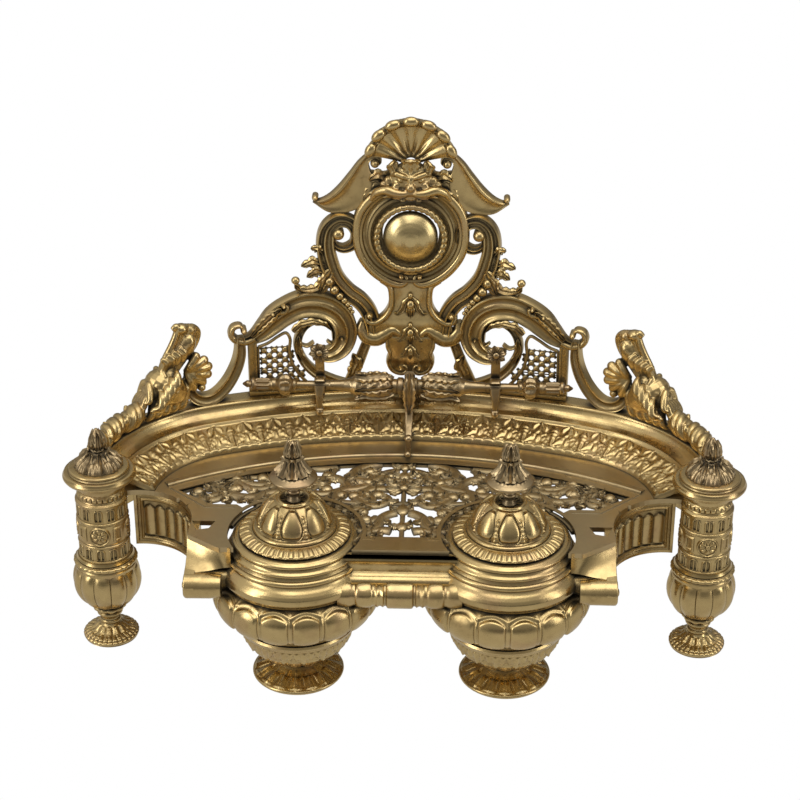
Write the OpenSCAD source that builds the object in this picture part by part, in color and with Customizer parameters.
/* [Tray] */
// Half width of the tray, from the middle to the outside of the rim
rim_half = 186; // [150:1:220]
// How far the rim reaches behind the line of the columns
rim_rise = 114; // [90:1:140]
// Radius of the side curves of the rim
side_r = 97; // [80:1:105]
// Height of the top of the rim above the table
rim_z = 110.5; // [90:0.5:130]
// Height of the top of the deck above the table
deck_z = 93; // [75:0.5:110]
// Thickness of the deck and of the cast walls
wall = 3; // [2:0.5:5]
// Height of the lower edge of the walls above the table
skirt_z = 57; // [40:1:70]
// Flat width of the top of the rim
land_w = 13; // [8:0.5:18]
// Width of the hollow moulding inside the rim
cove_w = 9; // [5:0.5:14]
// Width of the sloping leaf frieze
frieze_w = 20; // [12:0.5:28]

/* [Floor grille] */
// Radius of the back edge of the pierced floor
grille_r = 250; // [200:5:320]
// Distance from the line of the columns to the middle of its back edge
grille_back = 48.5; // [40:0.5:60]
// Distance from the line of the columns to its front edge
grille_front = 41; // [30:0.5:46]
// Thickness of the pierced floor
grille_t = 2.4; // [1.5:0.1:4]
// Width of the scrolling stems of the floor
stem_w = 3.2; // [2:0.1:5]
// Clearance of the floor in its rebate
grille_gap = 0.2; // [0.1:0.05:0.5]

/* [Columns] */
// Distance of each column inside the outer edge of the rim
col_in = 14; // [10:0.5:20]
// Radius of the column shaft
shaft_r = 14.4; // [11:0.1:18]
// Radius of the gadrooned bulb under the shaft
bulb_r = 19.9; // [15:0.1:24]
// Radius of the column foot
foot_r = 16.1; // [12:0.1:20]
// Radius of the disc at the top of the column
disc_r = 20.3; // [16:0.1:25]

/* [Inkwells] */
// Sideways distance from the middle to each inkwell
well_x = 59; // [50:0.5:66]
// Distance of the inkwells in front of the line of the columns
well_y = 33.5; // [25:0.5:45]
// Largest radius of the inkwell body
well_r = 46; // [40:0.5:52]
// Radius of the inkwell foot
well_foot_r = 26.1; // [20:0.1:32]
// Radius of the stacked rings at the mouth
ring_r = 33.5; // [28:0.1:38]
// Radius of the lid dome
dome_r = 21; // [16:0.1:25]
// Radius of the lid flange
flange_r = 31; // [26:0.1:36]
// Radius of the glass liner
liner_r = 24; // [18:0.1:28]
// Clearance of the liner in the well
liner_gap = 0.5; // [0.3:0.05:1]
// Radius of the lid hinge pin
hinge_pin_r = 1.2; // [0.8:0.1:2]
// Clearance of the lid on its pin
hinge_gap = 0.05; // [0.02:0.01:0.1]

/* [Gallery] */
// Thickness of the gallery castings
gallery_t = 6; // [4:0.5:9]
// Height of the centre of the oval boss
boss_z = 212.5; // [190:0.5:230]
// Radius of the oval boss
boss_r = 16; // [12:0.5:20]
// Outer radius of the frame around the boss
cartouche_r = 33; // [28:0.5:40]
// Height of the tip of the shell crest
crest_z = 287.5; // [260:0.5:310]

/* [Pen bar] */
// Sideways distance from the middle to each hook
hook_x = 52.5; // [40:0.5:70]
// Distance of the pen bar in front of the gallery, taken at the hooks
bar_off = 14.82; // [13:0.01:18]
// Height of the pen bar above the table
bar_z = 121; // [110:0.5:140]
// Half length of the pen bar
bar_half = 99; // [80:1:110]
// Radius of the pen bar where it lies in the hooks
bar_r = 2.6; // [2:0.1:4]
// Clearance of the pen bar in its hooks
bar_gap = 0.06; // [0.02:0.01:0.1]

/* [Hidden] */
$fn = 64;
side_cx = rim_half - side_r;
crown_r = (side_cx*side_cx + rim_rise*rim_rise - side_r*side_r)/(2*(rim_rise - side_r));
crown_y = rim_rise - crown_r;
turn = atan(side_cx/(crown_r - rim_rise));
front_y = well_y + well_r;
col_x = rim_half - col_in;
col_y = (front_y - rim_rise)/2;
end_a = asin((disc_r + 0.1)/(col_x - side_cx));
frieze_u = land_w + cove_w + frieze_w;
deck_front = 52;
apron_r = 33;
apron_x = col_x - 21.5;
apron_y = -25;
gal_u = 7;
flange_z = 92.6;
hinge_z = deck_z + 2.9;
hinge_off = ring_r + 3.2;
// place of the side masks, a little inside the rim curve
head_r = side_r - 9.91;
head_at = [-side_cx - head_r*cos(54.96), head_r*sin(54.96), rim_z + 24.7];
bar_y = curve_y(hook_x) - bar_off;
pediment_x = 1.2;

// points along a run of tangent arcs: each step is [radius, turn in degrees]; radius 0 is a straight of that length
function step_end(p, s) = s[0] == 0 ? [p[0] + s[1]*cos(p[2]), p[1] + s[1]*sin(p[2]), p[2]]
    : let(r = s[1] > 0 ? s[0] : -s[0]) [p[0] - r*sin(p[2]) + r*sin(p[2] + s[1]), p[1] + r*cos(p[2]) - r*cos(p[2] + s[1]), p[2] + s[1]];
function run(p, steps, i = 0) = i >= len(steps) ? [p]
    : let(s = steps[i], n = s[0] == 0 ? 1 : max(2, ceil(abs(s[1])/18)))
      concat([for (k = [0 : n - 1]) s[0] == 0 ? p : step_end(p, [s[0], s[1]*k/n])], run(step_end(p, s), steps, i + 1));
module band(p, steps, w0, w1) {
    q = run(p, steps);
    n = len(q) - 1;
    w = [for (i = [0 : n]) (w0 + (w1 - w0)*i/n)/2];
    polygon(concat([for (i = [0 : n]) [q[i][0] - w[i]*sin(q[i][2]), q[i][1] + w[i]*cos(q[i][2])]],
        [for (i = [n : -1 : 0]) [q[i][0] + w[i]*sin(q[i][2]), q[i][1] - w[i]*cos(q[i][2])]]));
}
module scroll(p, steps, w0, w1, eye) {
    band(p, steps, w0, w1);
    q = run(p, steps);
    e = q[len(q) - 1];
    translate([e[0], e[1]]) circle(eye);
}
module both() { children(); mirror([1, 0, 0]) children(); }
module at_cols() { translate([0, col_y, 0]) children(); }
// plan of the rim curve, moved inward by u
module arch(u) {
    half = concat([for (i = [0 : 16]) let(a = (90 - turn)*i/16) [side_cx + (side_r - u)*cos(a), (side_r - u)*sin(a)]],
        [for (i = [1 : 8]) let(a = 90 - turn + turn*i/8) [(crown_r - u)*cos(a), crown_y + (crown_r - u)*sin(a)]]);
    polygon(concat(half, [for (i = [len(half) - 2 : -1 : 0]) [-half[i][0], half[i][1]]]));
}
// sweeps a section, given as distance inward and height, round the crown of the rim curve
module crown_sweep(pts) {
    translate([0, crown_y, 0]) rotate([0, 0, 90 - turn]) rotate_extrude(angle = 2*turn, $fn = 200)
        polygon([for (q = pts) [crown_r - q[0], q[1]]]);
}
// sweeps the same section round the right-hand side curve
module side_sweep(pts) {
    translate([side_cx, 0, 0]) rotate([0, 0, end_a]) rotate_extrude(angle = 90 - end_a - turn, $fn = 120)
        polygon([for (q = pts) [side_r - q[0], q[1]]]);
}
function curve_y(x) = crown_y + sqrt(pow(crown_r - gal_u, 2) - x*x);
function curve_a(x) = asin(x/(crown_r - gal_u));
// stands a drawing upright on the rim, at a sideways place and turned to follow the curve there
module on_rim(x, a, t, back = 0) {
    translate([x, curve_y(x), 0]) rotate([0, 0, -a]) translate([-x, t/2 - back, 0]) rotate([90, 0, 0]) linear_extrude(t) children();
}
module wedge(a0, a1, r) { polygon(concat([[0, 0]], [for (i = [0 : 6]) [r*cos(a0 + (a1 - a0)*i/6), r*sin(a0 + (a1 - a0)*i/6)]])); }
module ring2(r0, r1) { difference() { circle(r1); circle(r0); } }

function rim_section() = concat([[0, skirt_z], [-0.8, skirt_z + 1], [-0.8, skirt_z + 4], [0, skirt_z + 5], [0, rim_z - 2], [1, rim_z - 0.6], [2.4, rim_z], [land_w - 1.4, rim_z], [land_w, rim_z - 0.6]],
    [for (i = [0 : 6]) [land_w + cove_w*(1 - cos(i*15)), rim_z - 1 - 7*sin(i*15)]],
    [[land_w + cove_w + 0.6, rim_z - 8.6], [frieze_u, deck_z + 2], [frieze_u + 1.2, deck_z + 1.4], [frieze_u + 1.2, deck_z],
    [frieze_u - 3, deck_z], [land_w + cove_w, rim_z - 11], [land_w, rim_z - 5], [wall, rim_z - 5], [wall, skirt_z]]);
module rim_back() { color([0.72, 0.58, 0.28]) at_cols() crown_sweep(rim_section()); }
module right_rim() { color([0.72, 0.58, 0.28]) at_cols() side_sweep(rim_section()); }
module left_rim() { color([0.72, 0.58, 0.28]) mirror([1, 0, 0]) at_cols() side_sweep(rim_section()); }
module deck_plan() {
    difference() {
        union() {
            arch(frieze_u - 3.4);
            intersection() { arch(wall); translate([-200, 2]) square([400, 14]); }
            polygon([[-127, 9], [-127, -3], [-118, -20], [-118, -59], [-99, -59], [-99, -deck_front], [99, -deck_front], [99, -59], [118, -59], [118, -20], [127, -3], [127, 9]]);
        }
        both() translate([apron_x, apron_y]) circle(apron_r);
        both() translate([well_x, -well_y]) circle(ring_r + 0.02);
        both() translate([col_x, 0]) circle(shaft_r + 0.9);
    }
}
module grille_plan(g) {
    difference() {
        intersection() {
            translate([0, grille_back - grille_r]) circle(grille_r - g, $fn = 160);
            translate([-134, -grille_front + g]) square([268, 120]);
            polygon([[-136 + g, 12], [-136 + g, 60], [136 - g, 60], [136 - g, 12], [112 - g, -9 + g], [94, -9 + g], [60, -grille_front + g], [-60, -grille_front + g], [-94, -9 + g], [-112 + g, -9 + g]]);
        }
        both() translate([well_x, -well_y]) circle(ring_r + 3.2 + g);
    }
}
module deck() {
    color([0.66, 0.54, 0.28]) at_cols() difference() {
        translate([0, 0, deck_z - wall]) linear_extrude(wall) deck_plan();
        translate([0, 0, deck_z - 10]) linear_extrude(20) intersection() { grille_plan(3); both() translate([0, -70]) square([140, 200]); }
        translate([0, 0, deck_z - 2*wall]) linear_extrude(2*wall - 0.6) grille_plan(0);
        both() translate([103, -33, deck_z - 10]) linear_extrude(20) polygon([[1, 8.5], [14, 8.5], [11, -1], [4, 1]]);
        both() translate([94.5, -60.5, deck_z - 10]) cube([6, 7, 20]);
    }
}
module front_rail() {
    yf = -deck_front;
    color([0.72, 0.58, 0.28]) at_cols() difference() {
        union() {
            rotate([90, 0, 90]) translate([0, 0, -117]) linear_extrude(234)
                polygon([[yf, deck_z - wall], [yf, deck_z - 4], [yf - 2, deck_z - 4.6], [yf - 2.6, deck_z - 5.6], [yf - 2, deck_z - 7],
                    [yf - 2, deck_z - 14], [yf - 6, deck_z - 16], [yf - 8, 70], [yf - 8, 66], [yf - 3, 66], [yf - 3, 74], [yf + 1, deck_z - 12], [yf + 2, deck_z - wall]]);
            translate([-112, yf - 8, 70]) rotate([0, 90, 0]) cylinder(r = 6.5, h = 224);
            translate([-7.5, yf - 8, 70]) rotate([0, 90, 0]) cylinder(r = 7.4, h = 15);
            both() translate([10, yf - 8, 70]) rotate([0, 90, 0]) cylinder(r = 7.2, h = 2);
        }
        both() translate([well_x, -well_y, 0]) { cylinder(r = 43.2, h = 120); translate([0, 0, 20]) cylinder(r = well_r + 0.3, h = 50); }
    }
}
module apron() {
    color([0.6, 0.48, 0.24]) at_cols() difference() {
        union() {
            intersection() {
                translate([apron_x, apron_y, skirt_z]) difference() { cylinder(r = apron_r + wall, h = deck_z - wall - skirt_z); translate([0, 0, -1]) cylinder(r = apron_r, h = 60); }
                translate([118, -24, 0]) cube([col_x - 118 - shaft_r + 3.5, 40, 120]);
            }
            intersection() {
                translate([apron_x, apron_y, 0]) for (z = [skirt_z, deck_z - wall - 4]) translate([0, 0, z]) difference() { cylinder(r = apron_r + 1, h = 4); translate([0, 0, -1]) cylinder(r = apron_r - 1.6, h = 60); }
                translate([118, -24, 0]) cube([col_x - 118 - shaft_r + 3.5, 40, 120]);
            }
        }
        translate([apron_x, apron_y, 0]) for (k = [0 : 6]) rotate([0, 0, 14 + k*9.2]) translate([apron_r, 0, skirt_z + 6.5]) cylinder(r = 1.6, h = 20, $fn = 24);
        translate([col_x, 0, 0]) cylinder(r = 17.3, h = 120);
    }
}
module right_apron() { apron(); }
module left_apron() { mirror([1, 0, 0]) apron(); }
module corner_scroll() {
    color([0.74, 0.6, 0.3]) at_cols() {
        translate([113, 0, 0]) rotate([90, 0, 90]) linear_extrude(5) union() {
            polygon([[-26, deck_z - wall], [-59, deck_z - wall], [-60, 84], [-63, 79], [-58, 68], [-48, 69], [-38, 66], [-26, 62]]);
            translate([-58, 72.5]) circle(7.2);
        }
        translate([118, -58, 72.5]) rotate([0, 90, 0]) { cylinder(r = 6.2, h = 1.6); cylinder(r = 4.2, h = 2.8); cylinder(r = 2, h = 4); }
    }
}
module right_corner_scroll() { corner_scroll(); }
module left_corner_scroll() { mirror([1, 0, 0]) corner_scroll(); }

// one half of the pierced pattern of the floor
module half_pattern() {
    w = stem_w;
    scroll([3, 38, 0], [[13, -70], [20, 60], [11, -250], [6, -150]], w, w*0.8, 2.6);
    scroll([4, 16, 30], [[16, -80], [9, -200], [5, -120]], w, w*0.8, 2.4);
    scroll([40, 42, -20], [[30, 35], [12, -240], [6, -160]], w, w*0.8, 2.6);
    scroll([72, 40, -25], [[40, 20], [11, -230], [5.5, -150]], w, w*0.8, 2.4);
    scroll([4, -8, -20], [[14, -70], [8, 210], [4.5, 120]], w, w*0.8, 2.2);
    scroll([60, 6, 60], [[13, -120], [9, -190]], w, w*0.8, 2.2);
    scroll([30, 22, -60], [[22, 70], [10, -200], [5, -140]], w, w*0.8, 2.4);
    scroll([64, 26, -35], [[34, 50], [9, 200]], w, w*0.8, 2.2);
    scroll([96, 31, -30], [[60, 10], [8, -220]], w, w*0.8, 2);
    scroll([78, 8, -20], [[30, 60], [8, 180]], w, w*0.8, 2);
    scroll([92, 4, 40], [[16, -110], [7, 160]], w, w*0.8, 2);
    scroll([20, 8, -100], [[14, 80], [9, 180]], w, w*0.8, 2);
    scroll([6, -28, 20], [[12, -100], [6, -150]], w, w*0.8, 2);
    band([0, 28, 0], [[0, 120]], w*0.7, w*0.7);
    band([40, 44, -80], [[60, 25], [40, -20]], w*0.7, w*0.7);
    band([100, 34, -110], [[50, 40]], w*0.7, w*0.7);
    band([74, 40, -100], [[60, 30]], w*0.7, w*0.7);
    band([0, 2, -6], [[200, 24]], w*0.7, w*0.7);
    band([22, 46, -105], [[70, 30], [40, -40]], w*0.7, w*0.7);
}
module floor_grille() {
    color([0.6, 0.48, 0.26]) at_cols() translate([0, 0, deck_z - 0.6 - grille_t]) {
        linear_extrude(grille_t - 0.6) {
            difference() { grille_plan(grille_gap); grille_plan(5); }
            intersection() {
                grille_plan(grille_gap + 0.5);
                union() {
                    both() half_pattern();
                    translate([0, 17]) difference() { circle(8.5); both() for (a = [20, 50]) rotate(a) translate([5, 0]) circle(1.2, $fn = 24); }
                    translate([0, 30]) circle(4);
                    translate([0, -6]) circle(5);
                    translate([0, -24]) circle(4);
                    translate([-1.4, -42]) square([2.8, 92]);
                }
            }
        }
        translate([0, 0, grille_t - 0.8]) {
            translate([0, 17, 0]) difference() { sphere(3.2, $fn = 32); translate([0, 0, -10]) cube([20, 20, 20], center = true); }
            both() for (a = [-60, -25, 10, 45, 80]) translate([0, 17, 0]) rotate([0, 0, a]) translate([6, 0, 0]) difference() { sphere(1.8, $fn = 24); translate([0, 0, -5]) cube([10, 10, 10], center = true); }
        }
    }
}
module floor_screws() {
    color([0.5, 0.4, 0.2]) at_cols() both() for (q = [[40, 42.6], [105, 23.5], [104, -6.3], [10, -38.3]])
        translate([q[0], q[1], deck_z - 0.6 - grille_t - 1.6]) difference() { cylinder(r = 2, h = 1.6, $fn = 32); translate([-3, -0.3, -0.1]) cube([6, 0.6, 0.6]); }
}

module column_feet() {
    color([0.72, 0.58, 0.3]) at_cols() both() translate([col_x, 0, 0]) {
        difference() {
            rotate_extrude() union() {
                polygon([[3, 0], [foot_r - 0.8, 0], [foot_r, 0.8], [foot_r, 2.2], [foot_r - 1, 3.2], [12.4, 3.8], [9.5, 5], [7, 7.2], [5.6, 9.6], [5.2, 12], [5.5, 14.6], [3, 14.6]]);
                translate([14, 3.2]) circle(1.3, $fn = 24);
                translate([5.2, 10.6]) circle(1.3, $fn = 24);
            }
            for (k = [0 : 17]) rotate([0, 0, k*20]) translate([10.6, 0, 5.6]) sphere(1.3, $fn = 16);
        }
    }
}
module bulb() {
    color([0.74, 0.6, 0.3]) at_cols() translate([col_x, 0, 0]) difference() {
        rotate_extrude() union() {
            polygon([[3, 14.6], [6.6, 14.6], [7.6, 16], [7.2, 17.6], [9, 19], [8.4, 21], [9.6, 22.4], [14, 27.5], [17.6, 50.5], [17.2, 52.4], [17.6, 53.6], [16.6, 55], [16.4, 57], [3, 57]]);
            intersection() { translate([0, 39.5]) circle(bulb_r, $fn = 96); translate([3, 22]) square([30, 29]); }
        }
        for (k = [0 : 11]) rotate([0, 0, k*30]) translate([bulb_r - 1.1, -0.6, 30]) cube([4, 1.2, 19]);
    }
}
module right_bulb() { bulb(); }
module left_bulb() { mirror([1, 0, 0]) bulb(); }
module shaft() {
    color([0.7, 0.57, 0.28]) at_cols() translate([col_x, 0, 0]) difference() {
        rotate_extrude($fn = 96) union() {
            polygon([[3, 57], [shaft_r + 0.8, 57], [shaft_r + 0.8, 58.2], [shaft_r, 58.8], [shaft_r, 91.6], [shaft_r + 0.6, 92.2], [shaft_r + 0.6, 94], [shaft_r - 0.4, 95], [3, 95]]);
            translate([shaft_r - 0.2, 67.2]) circle(0.9, $fn = 24);
            translate([shaft_r - 0.2, 82]) circle(0.9, $fn = 24);
        }
        for (k = [0 : 11]) rotate([0, 0, k*30]) {
            translate([shaft_r, 0, 84.8]) rotate([0, 90, 0]) cylinder(r = 2, h = 1.6, center = true, $fn = 24);
            translate([shaft_r - 0.8, -2, 84.2]) cube([1.6, 4, 0.6]);
            translate([shaft_r, 0, 88.2]) rotate([0, 90, 0]) cylinder(r = 2.2, h = 1.6, center = true, $fn = 24);
            translate([shaft_r, 0, 61.8]) rotate([0, 90, 0]) cylinder(r = 2.2, h = 1.6, center = true, $fn = 24);
        }
        for (k = [0 : 3]) rotate([0, 0, k*90]) translate([shaft_r - 0.7, 0, 74.6]) rotate([0, 90, 0]) difference() { cylinder(r = 5.6, h = 3); translate([0, 0, -1]) cylinder(r = 4.6, h = 5); }
    }
}
module right_shaft() { shaft(); }
module left_shaft() { mirror([1, 0, 0]) shaft(); }
module capital() {
    color([0.76, 0.62, 0.32]) at_cols() translate([col_x, 0, 0]) difference() {
        union() {
            rotate_extrude($fn = 96) polygon(concat([[3, 95], [shaft_r - 1, 95], [12.8, 99.6]],
                [for (i = [0 : 6]) [12.8 + 6.6*(1 - cos(i*15)), 99.6 + 6.6*sin(i*15)]],
                [[disc_r, 107.2], [disc_r, 110.4], [disc_r - 0.8, 111.2], [17, 111.2], [16.7, 112], [16.7, 113.4], [15.6, 114.2], [3, 114.2]]));
            for (k = [0 : 23]) rotate([0, 0, k*15]) translate([12.6, 0, 97.4]) sphere(1.5, $fn = 16);
        }
        translate([0, 0, 113.2]) cylinder(r = 13.4, h = 3);
    }
}
module right_capital() { capital(); }
module left_capital() { mirror([1, 0, 0]) capital(); }
module cap() {
    color([0.66, 0.53, 0.28]) at_cols() translate([col_x, 0, 0]) {
        difference() {
            rotate_extrude() union() {
                polygon([[0, 113.2], [13, 113.2], [13, 114.6], [12.4, 116.4], [10.4, 119], [7, 121], [3.4, 121.8], [2.7, 123], [3.4, 124.4], [2.6, 125], [0, 125]]);
                intersection() { translate([0, 128.8]) circle(4.6); translate([0, 120]) square([8, 12]); }
                polygon([[0, 129], [4.5, 129.6], [3.4, 133], [1.6, 136], [0.5, 137.6], [0, 137.6]]);
            }
            for (k = [0 : 11]) rotate([0, 0, k*30]) translate([11.6, 0, 119.4]) rotate([0, -38, 0]) cylinder(r = 1, h = 14, center = true, $fn = 16);
        }
    }
}
module right_cap() { cap(); }
module left_cap() { mirror([1, 0, 0]) cap(); }
module column_tie_rods() {
    color([0.45, 0.42, 0.38]) at_cols() both() translate([col_x, 0, 1]) { cylinder(r = 2.9, h = 108); cylinder(r = 5.2, h = 2.4, $fn = 6); }
}

module at_well() { translate([well_x, col_y - well_y, 0]) children(); }
module well_foot() {
    color([0.74, 0.6, 0.3]) at_well() difference() {
        rotate_extrude($fn = 96) union() {
            polygon([[0, 0], [well_foot_r - 0.8, 0], [well_foot_r, 0.8], [well_foot_r, 2], [well_foot_r - 1.4, 3.2], [22, 3.6], [18, 4.6], [14.4, 6.4], [13.4, 9], [14.8, 11], [16, 12], [0, 12]]);
            translate([23.6, 3.1]) circle(1, $fn = 24);
            translate([13.6, 8.6]) circle(1.2, $fn = 24);
        }
        for (k = [0 : 23]) rotate([0, 0, k*15]) translate([18.6, 0, 5.4]) sphere(1.6, $fn = 16);
    }
}
module right_well_foot() { well_foot(); }
module left_well_foot() { mirror([1, 0, 0]) well_foot(); }
module well_bowl() {
    color([0.76, 0.62, 0.32]) at_well() difference() {
        rotate_extrude($fn = 96) polygon(concat([[0, 12], [16.4, 12], [18.6, 12.8]],
            [for (i = [0 : 7]) [19.5 + 12.5*sin(i*90/7), 13.4 + 20*(1 - cos(i*90/7))]],
            [[32, 34.4], [33.6, 35.4], [34, 36.6], [33, 38], [27, 38], [26, 18], [0, 18]]));
        for (k = [0 : 17]) rotate([0, 0, k*20]) translate([31.2, 0, 22.5]) rotate([0, -28, 0]) { cylinder(r = 1, h = 22, center = true, $fn = 16); }
    }
}
module right_well_bowl() { well_bowl(); }
module left_well_bowl() { mirror([1, 0, 0]) well_bowl(); }
module well_body() {
    color([0.78, 0.64, 0.34]) at_well() difference() {
        union() {
            rotate_extrude($fn = 96) union() {
                polygon([[liner_r + liner_gap, 40], [30, 38], [36, 40], [40, 48], [40, 69], [42.6, 72.6], [42.6, 74.4], [41, 75.8], [37, 78.4], [36.6, 81.6], [35.4, 82.4], [34.4, 83], [34.6, 84],
                    [ring_r + 0.4, 85.6], [ring_r - 0.4, 86.2], [ring_r - 0.4, 87], [ring_r, 87.6], [ring_r, deck_z - 0.6 - 0.8], [ring_r - 1, flange_z - 0.4], [liner_r + liner_gap, flange_z - 0.4]]);
                translate([34, 56]) circle(well_r - 34, $fn = 64);
                translate([35.6, 80]) circle(1.4, $fn = 24);
            }
            // back knuckles of the lid hinge
            difference() {
                union() for (x = [-7, 4]) translate([x, hinge_off, hinge_z]) rotate([0, 90, 0]) cylinder(r = 2.4, h = 3, $fn = 32);
                translate([-20, hinge_off, hinge_z]) rotate([0, 90, 0]) cylinder(r = hinge_pin_r, h = 40, $fn = 32);
            }
            for (x = [-7, 4]) translate([x, flange_r + 0.5, 0]) { translate([0, 0, deck_z + 0.4]) cube([3, hinge_off - flange_r - 0.5, hinge_z - hinge_pin_r - deck_z - 0.5]); translate([0, 0, deck_z - 3]) cube([3, 1, 5]); }
        }
        translate([0, 0, 30]) cylinder(r = liner_r + liner_gap, h = 100);
        for (k = [0 : 15]) rotate([0, 0, 11.25 + k*22.5]) translate([well_r + 0.6, 0, 44]) cylinder(r = 1.6, h = 24, $fn = 24);
    }
}
module right_well_body() { well_body(); }
module left_well_body() { mirror([1, 0, 0]) well_body(); }
module liner() {
    color([0.82, 0.9, 0.92, 0.4]) at_well() rotate_extrude($fn = 80)
        polygon([[0, 18], [liner_r - 3, 18], [liner_r, 21], [liner_r, 91.6], [liner_r - 3, 91.6], [liner_r - 3, 24], [liner_r - 6, 21.3], [0, 21.3]]);
}
module right_liner() { liner(); }
module left_liner() { mirror([1, 0, 0]) liner(); }
module lid() {
    color([0.8, 0.66, 0.36]) at_well() difference() {
        union() {
            difference() {
                rotate_extrude($fn = 96) union() {
                    polygon([[0, 93], [flange_r - 0.6, 93], [flange_r, 93.4], [flange_r, 94.4], [flange_r - 2, 95.4], [24, 96.8], [22.6, 96.8], [22.4, 97.6], [21.4, 98.6], [dome_r - 0.2, 99], [0, 99]]);
                    intersection() { translate([0, 96]) circle(dome_r, $fn = 96); translate([0, 96]) square([40, 17.8]); }
                    translate([22.6, 97]) circle(0.9, $fn = 24);
                    polygon([[4.4, 111], [4.4, 113.2], [7.2, 113.2], [8.2, 115], [9.2, 113.6], [9.6, 111]]);
                }
                rotate_extrude($fn = 96) union() {
                    intersection() { translate([0, 95.4]) circle(dome_r - 2.6, $fn = 96); translate([0, 92]) square([40, 40]); }
                    translate([0, 90]) square([dome_r - 2.6, 6]);
                }
            }
            translate([0, 0, 92.8]) difference() { cylinder(r = liner_r - 3.6, h = 1.8); translate([0, 0, -1]) cylinder(r = liner_r - 6, h = 9); }
            translate([-3.4, flange_r - 4, deck_z + 0.4]) cube([6.8, hinge_off - flange_r + 4, 1.4]);
            translate([-3.4, hinge_off, hinge_z]) rotate([0, 90, 0]) cylinder(r = 2.4, h = 6.8, $fn = 32);
        }
        for (k = [0 : 11]) rotate([0, 0, k*30]) translate([dome_r*cos(36), 0, 96 + dome_r*sin(36)]) rotate([0, -36, 0]) translate([-0.9, -0.6, -8]) cube([4, 1.2, 17]);
        for (k = [0 : 29]) rotate([0, 0, k*12 + 6]) translate([25, -0.5, 95.2]) cube([4.6, 1, 3]);
        translate([-20, hinge_off, hinge_z]) rotate([0, 90, 0]) cylinder(r = hinge_pin_r + hinge_gap, h = 40, $fn = 32);
    }
}
module right_lid() { lid(); }
module left_lid() { mirror([1, 0, 0]) lid(); }
module finial() {
    color([0.6, 0.48, 0.26]) at_well() difference() {
        rotate_extrude() union() {
            polygon([[0, 113.2], [4.2, 113.2], [4, 114.4], [3, 115.4], [2.6, 117], [3.6, 118.6], [3.4, 119.8], [2.8, 121], [3.4, 123], [8, 125.2], [13, 126.6], [13.4, 127.8], [12.6, 129], [9.6, 130.4], [6, 131.6], [3, 132.2], [2.8, 133.6], [0, 133.6]]);
            intersection() { translate([0, 137.4]) circle(5.2); translate([0, 132]) square([8, 9]); }
            polygon([[0, 138], [5.1, 138.6], [4.6, 141.4], [3.2, 145], [1.5, 148], [0.6, 149.8], [0, 149.8]]);
        }
        for (k = [0 : 13]) rotate([0, 0, k*360/14]) translate([12, 0, 131.2]) rotate([0, -68, 0]) cylinder(r = 1, h = 9, center = true, $fn = 12);
    }
}
module right_finial() { finial(); }
module left_finial() { mirror([1, 0, 0]) finial(); }
module hinge_pin() {
    color([0.5, 0.42, 0.24]) at_well() translate([-8, hinge_off, hinge_z]) rotate([0, 90, 0]) { cylinder(r = hinge_pin_r, h = 16, $fn = 32); cylinder(r = 1.9, h = 0.9, $fn = 32); translate([0, 0, 15.1]) cylinder(r = 1.9, h = 0.9, $fn = 32); }
}
module right_hinge_pin() { hinge_pin(); }
module left_hinge_pin() { mirror([1, 0, 0]) hinge_pin(); }

// outline of the frame around the boss with its waisted stem
module cartouche_plan() {
    difference() {
        union() {
            circle(cartouche_r);
            for (s = [-1, 1]) scale([s, 1]) {
                scroll([0, 31, 0], [[30, -60], [7, -200]], 5, 4, 3);
                band([22, -22, -125], [[34, 40], [22, 48], [40, -50]], 9, 7);
                translate([24.5, -59.5]) circle(6.6);
                translate([21, -72]) circle(8.5);
            }
            polygon([[-12, -26], [12, -26], [14.5, -34], [12, -41], [14, -48], [28, -58], [29, -72], [22, -80], [14.8, -80], [15.5, -102], [-15.5, -102], [-14.8, -80], [-22, -80], [-29, -72], [-28, -58], [-14, -48], [-12, -41], [-14.5, -34]]);
        }
        for (s = [-1, 1]) scale([s, 1]) translate([24.5, -59.5]) circle(2.2, $fn = 24);
    }
}
module cartouche() {
    color([0.74, 0.6, 0.3]) at_cols() difference() {
        union() {
            on_rim(0, 0, gallery_t) translate([pediment_x, boss_z]) cartouche_plan();
            on_rim(0, 0, gallery_t + 4, 1.5) translate([pediment_x, boss_z]) {
                ring2(cartouche_r - 4.5, cartouche_r - 1);
                for (s = [-1, 1]) scale([s, 1]) { band([11, -34, -95], [[40, 28], [18, 60], [12, -110]], 3.4, 3); translate([24.5, -59.5]) ring2(3, 6); }
            }
            on_rim(0, 0, gallery_t + 8, 2) translate([pediment_x, boss_z]) { circle(22.6); polygon([[-6, -30], [6, -30], [7.5, -38], [3.4, -46], [6, -58], [-6, -58], [-3.4, -46], [-7.5, -38]]); }
            translate([pediment_x - 15, curve_y(0) - 3.5, rim_z]) cube([30, 7, 6]);
        }
        translate([pediment_x, curve_y(0) - 4.9, boss_z]) rotate([90, 0, 0]) cylinder(r = boss_r + 1, h = 12);
    }
}
module boss() {
    rr = (boss_r*boss_r + 36)/12;
    color([0.82, 0.67, 0.36]) at_cols() translate([pediment_x, curve_y(0) - 4.9, boss_z]) rotate([90, 0, 0]) union() {
        cylinder(r = boss_r, h = 4.2);
        intersection() { translate([0, 0, 4.2 + 6 - rr]) sphere(rr, $fn = 120); cylinder(r = boss_r, h = 20); }
    }
}
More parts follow.
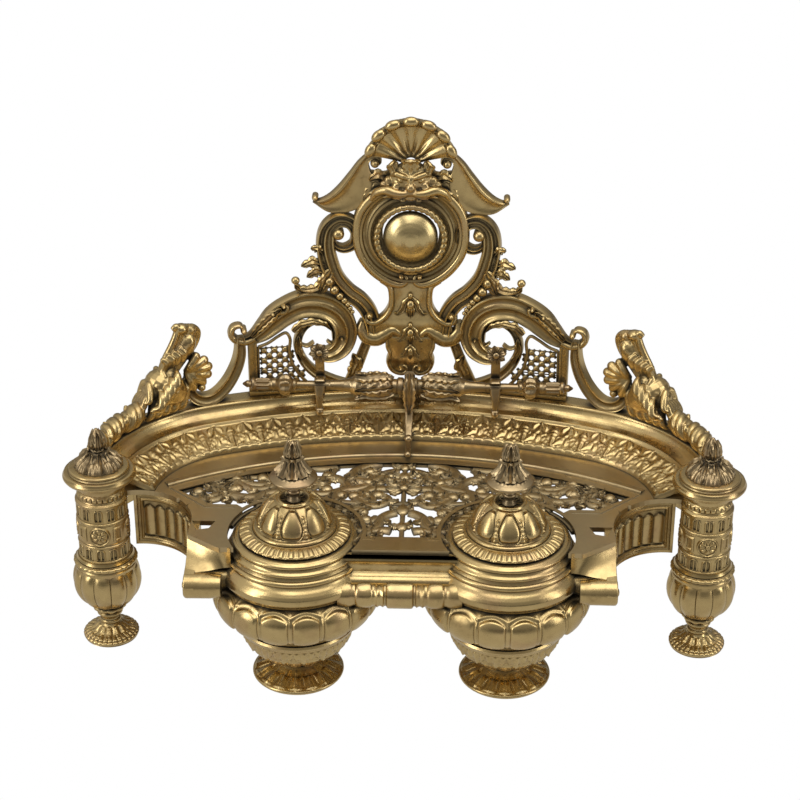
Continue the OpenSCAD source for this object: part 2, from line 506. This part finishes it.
module rope_ring() {
    color([0.76, 0.62, 0.32]) at_cols() translate([pediment_x, curve_y(0) - 9, boss_z]) rotate([90, 0, 0]) difference() {
        rotate_extrude($fn = 96) polygon([for (i = [0 : 12]) [19.6 + 2.2*cos(i*15), 2.2*sin(i*15)]]);
        for (k = [0 : 35]) rotate([0, 0, k*10]) translate([19.6, 0, 2.3]) rotate([0, 90, 32]) cylinder(r = 0.45, h = 7, center = true, $fn = 8);
    }
}
module lobe2(k, r, w, tip) { translate([0, 252]) rotate(-k*19) { translate([-w/2, 4]) square([w, r - 4]); translate([0, r]) circle(tip); } }
module crest_shell() {
    lobe = crest_z - 252 - 5.2;
    color([0.72, 0.58, 0.3]) at_cols() translate([pediment_x, curve_y(0), 0]) rotate([90, 0, 0]) {
        translate([0, 0, 3.5]) linear_extrude(3) { polygon([[-13, 252], [-14, 258], [-20, 264], [20, 264], [14, 258], [13, 252]]); for (k = [-3 : 3]) lobe2(k, lobe - abs(k)*1.4, 9.4, 5.2); }
        translate([0, 0, 6]) linear_extrude(3) for (k = [-3 : 3]) lobe2(k, lobe - abs(k)*1.4 - 0.6, 4.4, 4);
        translate([0, 0, 8.5]) linear_extrude(2.4) { for (k = [-2 : 2]) lobe2(k*1.3, 12, 4, 3); translate([0, 257.4]) circle(5.4); }
    }
}
module crest_mask() {
    color([0.7, 0.56, 0.28]) at_cols() translate([pediment_x, curve_y(0), 0]) difference() {
        union() {
            translate([0, -3, 247]) sphere(12.6, $fn = 64);
            both() { translate([8.4, -9.4, 248]) sphere(4.2, $fn = 32); translate([5, -12.4, 242.6]) sphere(4.6, $fn = 32); translate([12, -6, 239]) sphere(5, $fn = 32); }
            translate([0, -14.6, 246.4]) sphere(3, $fn = 32);
            translate([0, -9.4, 236.6]) sphere(5, $fn = 32);
        }
        translate([-40, -3.5, 220]) cube([80, 40, 60]);
        translate([-40, -40, 252]) cube([80, 80, 40]);
        translate([-40, -40, 210]) cube([80, 80, 20.4]);
        translate([0, 0, boss_z]) rotate([90, 0, 0]) cylinder(r = cartouche_r + 0.05, h = 9.05);
    }
}
module wing2() {
    polygon([[9, 258], [20, 262.5], [25, 259], [24, 252], [29, 246], [38, 241], [50, 236.5], [55, 233.4], [53, 226], [44, 226], [36, 229], [27, 232], [14, 236]]);
    translate([20.6, 256.5]) circle(5.6);
}
module crest_wings() {
    color([0.72, 0.58, 0.3]) at_cols() {
        difference() {
            on_rim(0, 0, 5, -1) translate([pediment_x, 0]) both() wing2();
            on_rim(0, 0, 40) translate([pediment_x, 0]) { both() translate([20.6, 256.5]) circle(1.8, $fn = 24); translate([0, boss_z]) circle(cartouche_r + 0.05); }
        }
        difference() {
            on_rim(0, 0, 7, 0) translate([pediment_x, 0]) both() { translate([20.6, 256.5]) ring2(3.6, 5.6); band([24, 250, -52], [[20, 32], [80, -12]], 2.6, 2); band([19, 245, -50], [[18, 30], [80, -8]], 2.4, 2); }
            on_rim(0, 0, 40) translate([pediment_x, boss_z]) circle(cartouche_r + 0.05);
        }
    }
}
module pendant() {
    color([0.74, 0.6, 0.3]) at_cols() translate([pediment_x, curve_y(0) - 3.01, 0]) rotate([90, 0, 0]) {
        linear_extrude(3) difference() {
            polygon([[-15, 146], [15, 146], [13.4, 138], [14, 129], [11.6, 122.6], [7.4, 119.6], [0, 118.5], [-7.4, 119.6], [-11.6, 122.6], [-14, 129], [-13.4, 138]]);
            both() translate([7.4, 124.4]) circle(1.4, $fn = 24);
        }
        translate([0, 0, 2]) linear_extrude(2.6) union() { translate([0, 146]) circle(4); for (k = [0 : 4]) translate([0, 146]) rotate(90 + k*72) translate([4.4, 0]) circle(2.5, $fn = 24); }
        translate([0, 133, 2]) cylinder(r = 5.4, h = 3);
        translate([0, 146, 2]) cylinder(r = 2.6, h = 4);
    }
}
module upper_volute2() {
    scroll([-23, 184, 118], [[60, 14], [14, 40], [15.5, -120], [12, -100], [10, -90]], 9, 6, 4.6);
    scroll([-17, 160, 112], [[26, 62], [17, -88], [40, -18]], 9, 7, 3.5);
    polygon([[-46, 200], [-54, 206], [-60, 197], [-63, 192], [-57, 190], [-60, 184], [-69, 183], [-66, 177], [-56, 178], [-48, 183], [-43, 180], [-40, 190]]);
    translate([-46, 175.5]) circle(3.4);
    translate([-50.5, 180.5]) circle(3);
    translate([-41.5, 171.5]) circle(2.6);
}
module upper_volute() {
    color([0.74, 0.6, 0.3]) at_cols() {
        difference() {
            on_rim(-38, curve_a(-38), gallery_t, 0) difference() { upper_volute2(); circle(0.1); }
            translate([pediment_x, curve_y(0) + 20, boss_z]) rotate([90, 0, 0]) cylinder(r = cartouche_r + 0.1, h = 40);
            at_cartouche_clear();
        }
        on_rim(-38, curve_a(-38), gallery_t + 3, 1) intersection() { translate([-60, 178]) square([33, 60]); scroll([-24, 184, 118], [[60, 14], [14, 40], [15.5, -120], [12, -100], [10, -90]], 2.6, 2, 4.6); }
    }
}
module at_cartouche_clear() {
    translate([pediment_x - 31, curve_y(0) - 12, boss_z - 110]) cube([62, 24, 60]);
}
module left_upper_volute() { upper_volute(); }
module right_upper_volute() { mirror([1, 0, 0]) upper_volute(); }

module side_plate2() {
    difference() {
        union() {
            translate([-54, 153]) circle(24);
            polygon([[-30, rim_z], [-26, 116], [-24, 130], [-32, 150], [-54, 176], [-78, 170.5], [-86, 165], [-92, 156], [-96.5, 152], [-96.5, rim_z]]);
            translate([-101, 153.5]) circle(5.4);
            band([-88, 160, 215], [[20, -35], [12, 30]], 8, 6);
        }
        difference() {
            union() { translate([-54.5, 143.5]) circle(11.6); translate([-44, 132.4]) circle(12.4); translate([-36, 130]) circle(9.6); translate([-57, 131]) circle(8.2); }
            difference() { translate([-54, 153]) circle(24); translate([-54, 151]) circle(17.6); translate([-84, 120]) square([33, 30]); }
        }
        translate([-71, 113]) polygon([[0, 0], [-19.5, -0.6], [-19.5, 33], [-12, 31], [-4, 20]]);
        translate([-101, 153.5]) circle(1.8, $fn = 24);
    }
}
module side_rib2() {
    translate([-54, 153]) difference() { ring2(19.4, 22.6); rotate(196) wedge(0, 60, 60); }
    translate([-54.5, 146]) difference() { ring2(12.6, 15); rotate(200) wedge(0, 120, 60); }
    translate([-101, 153.5]) ring2(3, 5.2);
    band([-77, 168.6, 205], [[30, 20], [60, 18]], 2.6, 2.2);
}
module side_scroll() {
    color([0.74, 0.6, 0.3]) at_cols() {
        difference() {
            on_rim(-62, curve_a(-62), gallery_t) side_plate2();
            translate([pediment_x - 31.5, curve_y(0) - 12, rim_z - 1]) cube([63, 24, 200]);
        }
        on_rim(-62, curve_a(-62), gallery_t + 3, 1.5) side_rib2();
        difference() {
            on_rim(-62, curve_a(-62), gallery_t + 2, 1) translate([-96.5, rim_z]) square([66, 2.4]);
            translate([pediment_x - 31.5, curve_y(0) - 12, rim_z - 1]) cube([63, 24, 200]);
        }
        // round boss that carries the screw of the pen hook, tied to the scroll by two small links
        difference() {
            union() {
                on_rim(-62, curve_a(-62), 5, 0.5) translate([-hook_x, 143]) circle(5.6);
                on_rim(-62, curve_a(-62), 3.4, 0) translate([-68, 141.6]) square([33, 2.8]);
                translate([-hook_x, bar_y + 2.8, 143]) rotate([-90, 0, 0]) cylinder(r = 4.6, h = curve_y(hook_x) - bar_y - 5);
            }
            translate([-hook_x, bar_y, 143]) rotate([-90, 0, 0]) cylinder(r = 1.65, h = 9);
        }
    }
}
module left_scroll() { side_scroll(); }
module right_scroll() { mirror([1, 0, 0]) side_scroll(); }
module lattice() {
    color([0.68, 0.55, 0.28]) at_cols() on_rim(-62, curve_a(-62), 2.4) difference() {
        translate([-71, 113]) polygon([[-0.1, 0.1], [-19.4, -0.5], [-19.4, 32.8], [-12.1, 30.8], [-4.2, 20]]);
        for (i = [-1 : 5], j = [0 : 5]) translate([-92 + i*6.4 + (j % 2)*3.2, 115 + j*5.4]) { circle(1.5, $fn = 16); both() translate([1.1, 0]) circle(1.1, $fn = 16); }
    }
}
module left_lattice() { lattice(); }
module right_lattice() { mirror([1, 0, 0]) lattice(); }

function c_steps() = [[40, -20], [34, -48], [17, -60], [11, -95], [8, -110]];
module c_scroll2() {
    scroll([-99.5, 150, -75], c_steps(), 8, 6, 4.4);
    scroll([-101, 150, -160], [[14, 60], [9, 110]], 7, 4, 2.6);
    polygon([[-98, rim_z], [-97.4, 150], [-103, 149], [-102, rim_z]]);
    polygon([[-98, rim_z], [-98, 114], [-132, 114], [-132, rim_z]]);
}
module c_scroll() {
    q = run([-99.5, 150, -75], c_steps());
    e = q[len(q) - 1];
    color([0.74, 0.6, 0.3]) at_cols() translate([-115, curve_y(115) - 0.3, 0]) rotate([0, 0, curve_a(115) + 3.7]) {
        translate([115, gallery_t/2, 0]) rotate([90, 0, 0]) linear_extrude(gallery_t) intersection() { c_scroll2(); translate([-132, rim_z]) square([33.8, 60]); }
        translate([115, 0, 0]) rotate([90, 0, 0]) linear_extrude(gallery_t/2 + 1.2) translate([e[0], e[1]]) circle(3.4);
    }
}
module left_side_scroll() { c_scroll(); }
module right_side_scroll() { mirror([1, 0, 0]) c_scroll(); }
module limb(from, to, r1, r2) {
    d = to - from;
    l = norm(d);
    translate(from) rotate([0, acos(d[2]/l), atan2(d[1], d[0])]) cylinder(r1 = r1, r2 = r2, h = l);
}
module head() {
    color([0.7, 0.56, 0.3]) at_cols() difference() {
        union() {
            translate(head_at) sphere(13.5, $fn = 64);
            limb(head_at, [-128.6, 78.9, 165.6], 10.5, 4.5);
            limb(head_at, [-170, 32, 114.6], 11.6, 5.6);
        }
        translate([-200, 0, rim_z - 30]) cube([100, 120, 30]);
    }
}
module left_head() { head(); }
module right_head() { mirror([1, 0, 0]) head(); }

// claws seen from the side: a band that leaves the bearing, bends forward and falls
module claw2(len, w) { band([-4.6, 3, -150], [[6, 62], [30, 10], [0, len]], w, w*0.8); }
module hook_arm() {
    color([0.66, 0.53, 0.27]) at_cols() translate([-hook_x, 0, 0]) difference() {
        union() {
            translate([-3.2, bar_y + 1, bar_z]) cube([6.4, 1.8, 143 - bar_z]);
            translate([0, bar_y + 2.8, 143]) rotate([90, 0, 0]) cylinder(r = 4.6, h = 1.8);
            translate([-3.2, bar_y, bar_z]) rotate([0, 90, 0]) cylinder(r = 5.4, h = 6.4);
            translate([-2.8, bar_y, bar_z]) rotate([90, 0, 90]) linear_extrude(5.6) claw2(7, 3);
            translate([0, bar_y - 5.4, bar_z - 15.2]) sphere(2.7, $fn = 32);
        }
        translate([-10, bar_y, bar_z]) rotate([0, 90, 0]) cylinder(r = bar_r + bar_gap, h = 20);
        translate([0, bar_y + 4, 143]) rotate([90, 0, 0]) cylinder(r = 1.65, h = 6, $fn = 32);
    }
}
module left_hook() { hook_arm(); }
module right_hook() { mirror([1, 0, 0]) hook_arm(); }
module rosette_screws() {
    color([0.68, 0.54, 0.28]) at_cols() both() translate([-hook_x, bar_y + 1, 143]) {
        rotate([90, 0, 0]) { cylinder(r = 5, h = 1.6); for (k = [0 : 5]) rotate([0, 0, k*60]) translate([3.6, 0, 1]) cylinder(r = 1.7, h = 1.4, $fn = 24); cylinder(r = 2, h = 4); }
        translate([0, -1, 0]) rotate([-90, 0, 0]) cylinder(r = 1.6, h = 8, $fn = 32);
    }
}
module centre_hook() {
    color([0.6, 0.48, 0.26]) at_cols() difference() {
        union() {
            translate([pediment_x - 2.6, bar_y + 2, bar_z - 2]) cube([5.2, curve_y(0) - 6.01 - bar_y - 2, 5]);
            translate([pediment_x - 3.4, bar_y, bar_z]) rotate([0, 90, 0]) cylinder(r = 8, h = 6.8);
            translate([pediment_x - 3, bar_y - 2, bar_z + 1]) rotate([90, 0, 90]) linear_extrude(6) claw2(9, 3.4);
            translate([pediment_x - 2.4, bar_y, bar_z]) rotate([90, 0, 90]) linear_extrude(4.8) band([-7.1, -12.4, -115], [[14, -35], [0, 9]], 2.4, 2);
            translate([pediment_x - 1.8, bar_y, bar_z]) rotate([90, 0, 90]) linear_extrude(3.6) band([-21, -24, -172], [[0, 8], [0, 8]], 2, 1.8);
            translate([pediment_x, bar_y - 21.5, bar_z - 24.4]) sphere(2.6, $fn = 32);
            translate([pediment_x, bar_y - 38, bar_z - 25.4]) sphere(2.2, $fn = 32);
            translate([pediment_x, bar_y + 8.4, bar_z]) rotate([90, 0, 0]) linear_extrude(2) { for (x = [-5, 5]) translate([x, -9]) circle(4); translate([0, -12]) circle(4.4); for (x = [-9, 9]) translate([x, -5]) circle(3.6); translate([-9, -9]) square([18, 9]); }
        }
        translate([-10, bar_y, bar_z]) rotate([0, 90, 0]) cylinder(r = 6.2, h = 24);
    }
}
module pen_bar() {
    color([0.6, 0.47, 0.25]) at_cols() translate([0, bar_y, bar_z]) rotate([0, 90, 0]) difference() {
        union() {
            for (s = [0, 1]) mirror([0, 0, s]) rotate_extrude() union() {
                polygon([[0, -0.01], [4.6, -0.01], [4.6, 2], [5.4, 3], [5.4, 6], [4.2, 7], [4.6, 9], [6.4, 11.4], [7.4, 15], [7.2, 19], [5.4, 23], [3.6, 25.4], [3.8, 27], [6.2, 29], [6, 31], [4.8, 34], [3.6, 38], [3.1, 42],
                    [2.9, 46.4], [bar_r, 47], [bar_r, 58], [2.6, 58.6], [2.3, 64], [2.2, 66], [3.4, 67], [3.2, 68.6], [0, 68.6]]);
                polygon([[0, 68], [2.6, 68], [5.6, 70], [6.6, 73], [5.4, 77], [3, 79], [3.6, 80], [3.8, 81], [3.4, 82], [3.4, 91], [4, 91.6], [4, 93], [2.4, 93.8], [2, 95], [0, 95]]);
                intersection() { translate([0, 95.6]) circle(2.2, $fn = 32); translate([0, 90]) square([5, 10]); }
                polygon([[0, 97], [1, 97], [0.5, bar_half], [0, bar_half]]);
            }
        }
        for (s = [-1, 1], k = [0 : 7]) rotate([0, 0, k*45]) translate([3.7, 0, s*86.5]) cylinder(r = 0.6, h = 8, center = true, $fn = 12);
    }
}
module gallery_screws() {
    color([0.45, 0.42, 0.38]) at_cols() for (x = [-112, -84, -44, -8, 8, 44, 84, 112]) translate([x, curve_y(x) + (abs(x) > 100 ? -1 : 0), rim_z - 5 - 2.2]) cylinder(r = 2.6, h = 2.2, $fn = 24);
}

rim_back();
left_rim();
right_rim();
deck();
front_rail();
left_apron();
right_apron();
left_corner_scroll();
right_corner_scroll();
floor_grille();
floor_screws();
column_feet();
left_bulb();
right_bulb();
left_shaft();
right_shaft();
left_capital();
right_capital();
left_cap();
right_cap();
column_tie_rods();
left_well_foot();
right_well_foot();
left_well_bowl();
right_well_bowl();
left_well_body();
right_well_body();
left_liner();
right_liner();
left_lid();
right_lid();
left_finial();
right_finial();
left_hinge_pin();
right_hinge_pin();
cartouche();
boss();
rope_ring();
crest_shell();
crest_mask();
crest_wings();
pendant();
left_upper_volute();
right_upper_volute();
left_scroll();
right_scroll();
left_lattice();
right_lattice();
left_side_scroll();
right_side_scroll();
left_head();
right_head();
left_hook();
right_hook();
rosette_screws();
centre_hook();
pen_bar();
gallery_screws();
